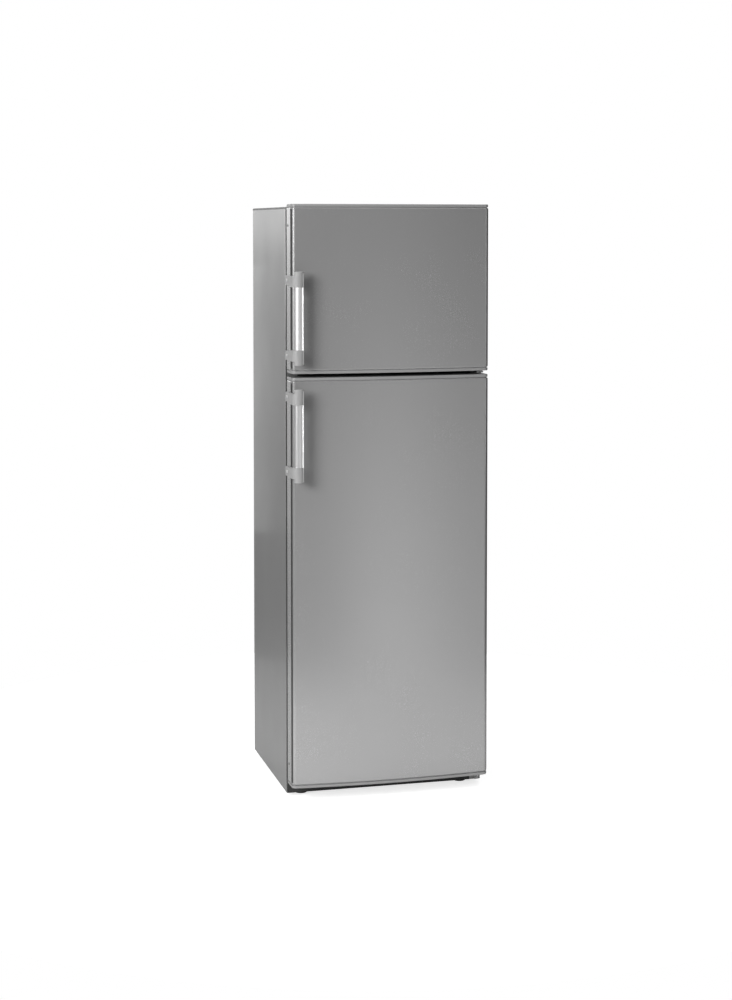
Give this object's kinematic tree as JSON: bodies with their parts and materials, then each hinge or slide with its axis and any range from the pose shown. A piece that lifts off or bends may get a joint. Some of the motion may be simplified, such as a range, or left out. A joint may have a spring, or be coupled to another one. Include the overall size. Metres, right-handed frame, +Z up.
{
  "type": "refrigerator",
  "caption": "Free-standing refrigerator with a freezer door above a fridge door, bar handles at the left edge, shelves, drawers and door racks inside.",
  "frame": {"origin": "middle of the floor area, on the floor, with handles and rear spacers counted in the depth", "axes": "+Z up, doors face -Y, hinges at +X"},
  "size_m": [0.606, 0.648, 1.756],
  "materials": {
    "side_paint": "silver paint",
    "top_plastic": "dark grey moulding",
    "back_sheet": "plain grey sheet",
    "door_steel": "fine silver finish",
    "cap_plastic": "silver grey moulding",
    "plinth_plastic": "dark moulding",
    "foam": "rigid foam",
    "liner_white": "vacuum-formed white sheet",
    "rack_plastic": "clear frosted moulding",
    "lid_plastic": "clear lid",
    "gasket": "soft grey seal",
    "shelf_glass": "tempered glass",
    "shelf_trim": "white strip",
    "hinge_metal": "light grey coated steel",
    "divider_dark": "dark coated strip",
    "pin_steel": "plain steel",
    "handle_bar": "satin bar",
    "handle_bracket": "silver moulding",
    "compressor_black": "black enamel",
    "mount_rubber": "black rubber",
    "condenser_black": "black coated wire",
    "pipe_copper": "copper line",
    "evaporator_aluminium": "plain sheet",
    "black_plastic": "black moulding",
    "control_white": "white housing",
    "knob_grey": "grey dial"
  },
  "bodies": {
    "cabinet": {"left_side_panel": "side_paint", "right_side_panel": "side_paint", "top_panel": "top_plastic", "hinge_cover": "top_plastic", "back_panel": "back_sheet", "base_panel": "back_sheet", "compressor_rail": "back_sheet", "roller_brackets": "back_sheet", "plinth": "plinth_plastic", "insulation_foam": "foam", "freezer_liner": "liner_white", "fridge_liner": "liner_white", "lamp_cover": "lid_plastic", "crisper_cover": "shelf_glass", "shelf_1": "shelf_glass", "shelf_2": "shelf_glass", "shelf_3": "shelf_glass", "freezer_shelf": "shelf_glass", "shelf_trims": "shelf_trim", "top_hinge": "hinge_metal", "middle_hinge": "hinge_metal", "bottom_hinge": "hinge_metal", "divider_rail": "divider_dark", "hinge_pins": "pin_steel", "compressor": "compressor_black", "compressor_mounts": "mount_rubber", "condenser_tube": "condenser_black", "condenser_wires": "condenser_black", "refrigerant_pipes": "pipe_copper", "evaporators": "evaporator_aluminium", "condenser_clips": "black_plastic", "drip_tray": "black_plastic", "drain_tube": "black_plastic", "control_panel": "control_white"},
    "freezer_door": {"freezer_door_skin": "door_steel", "freezer_door_liner": "liner_white", "freezer_door_foam": "foam", "freezer_door_caps": "cap_plastic", "freezer_door_gasket": "gasket", "freezer_door_rack": "rack_plastic", "freezer_handle_brackets": "handle_bracket", "freezer_handle_bar": "handle_bar"},
    "fridge_door": {"fridge_door_skin": "door_steel", "fridge_door_liner": "liner_white", "fridge_door_foam": "foam", "fridge_door_caps": "cap_plastic", "fridge_door_gasket": "gasket", "bottle_rack": "rack_plastic", "jar_rack": "rack_plastic", "dairy_box": "rack_plastic", "fridge_handle_brackets": "handle_bracket", "fridge_handle_bar": "handle_bar"},
    "dairy_lid": {"dairy_lid": "lid_plastic"},
    "temperature_knob": {"temperature_knob": "knob_grey"},
    "levelling_foot_left": {"levelling_foot_left": "black_plastic"},
    "levelling_foot_right": {"levelling_foot_right": "black_plastic"},
    "rear_roller_left": {"rear_roller_left": "black_plastic"},
    "rear_roller_right": {"rear_roller_right": "black_plastic"},
    "crisper_drawer_left": {"crisper_drawer_left": "rack_plastic"},
    "crisper_drawer_right": {"crisper_drawer_right": "rack_plastic"}
  },
  "joints": [
    {"name": "freezer_door_hinge", "type": "hinge", "parent": "cabinet", "child": "freezer_door", "pos_m": [0.282, -0.239, 1.50975], "axis": [0, 0, 1], "range_deg": [0, 110]},
    {"name": "fridge_door_hinge", "type": "hinge", "parent": "cabinet", "child": "fridge_door", "pos_m": [0.282, -0.239, 0.649], "axis": [0, 0, 1], "range_deg": [0, 110]},
    {"name": "dairy_lid_hinge", "type": "hinge", "parent": "fridge_door", "child": "dairy_lid", "pos_m": [0, -0.1931, 1.081], "axis": [1, 0, 0], "range_deg": [0, 85]},
    {"name": "temperature_knob_turn", "type": "hinge", "parent": "cabinet", "child": "temperature_knob", "pos_m": [0.07, 0.021, 1.198], "axis": [0, 1, 0], "range_deg": [0, 290]},
    {"name": "left_foot_turn", "type": "hinge", "parent": "cabinet", "child": "levelling_foot_left", "pos_m": [-0.248, -0.157, 0.024], "axis": [0, 0, 1], "continuous": true},
    {"name": "right_foot_turn", "type": "hinge", "parent": "cabinet", "child": "levelling_foot_right", "pos_m": [0.248, -0.157, 0.024], "axis": [0, 0, 1], "continuous": true},
    {"name": "left_roller_spin", "type": "hinge", "parent": "cabinet", "child": "rear_roller_left", "pos_m": [-0.276, 0.254, 0.016], "axis": [1, 0, 0], "continuous": true},
    {"name": "right_roller_spin", "type": "hinge", "parent": "cabinet", "child": "rear_roller_right", "pos_m": [0.276, 0.254, 0.016], "axis": [1, 0, 0], "continuous": true},
    {"name": "left_drawer_slide", "type": "slide", "parent": "cabinet", "child": "crisper_drawer_left", "axis": [0, -1, 0], "range_m": [0, 0.02]},
    {"name": "right_drawer_slide", "type": "slide", "parent": "cabinet", "child": "crisper_drawer_right", "axis": [0, -1, 0], "range_m": [0, 0.02]}
  ]
}
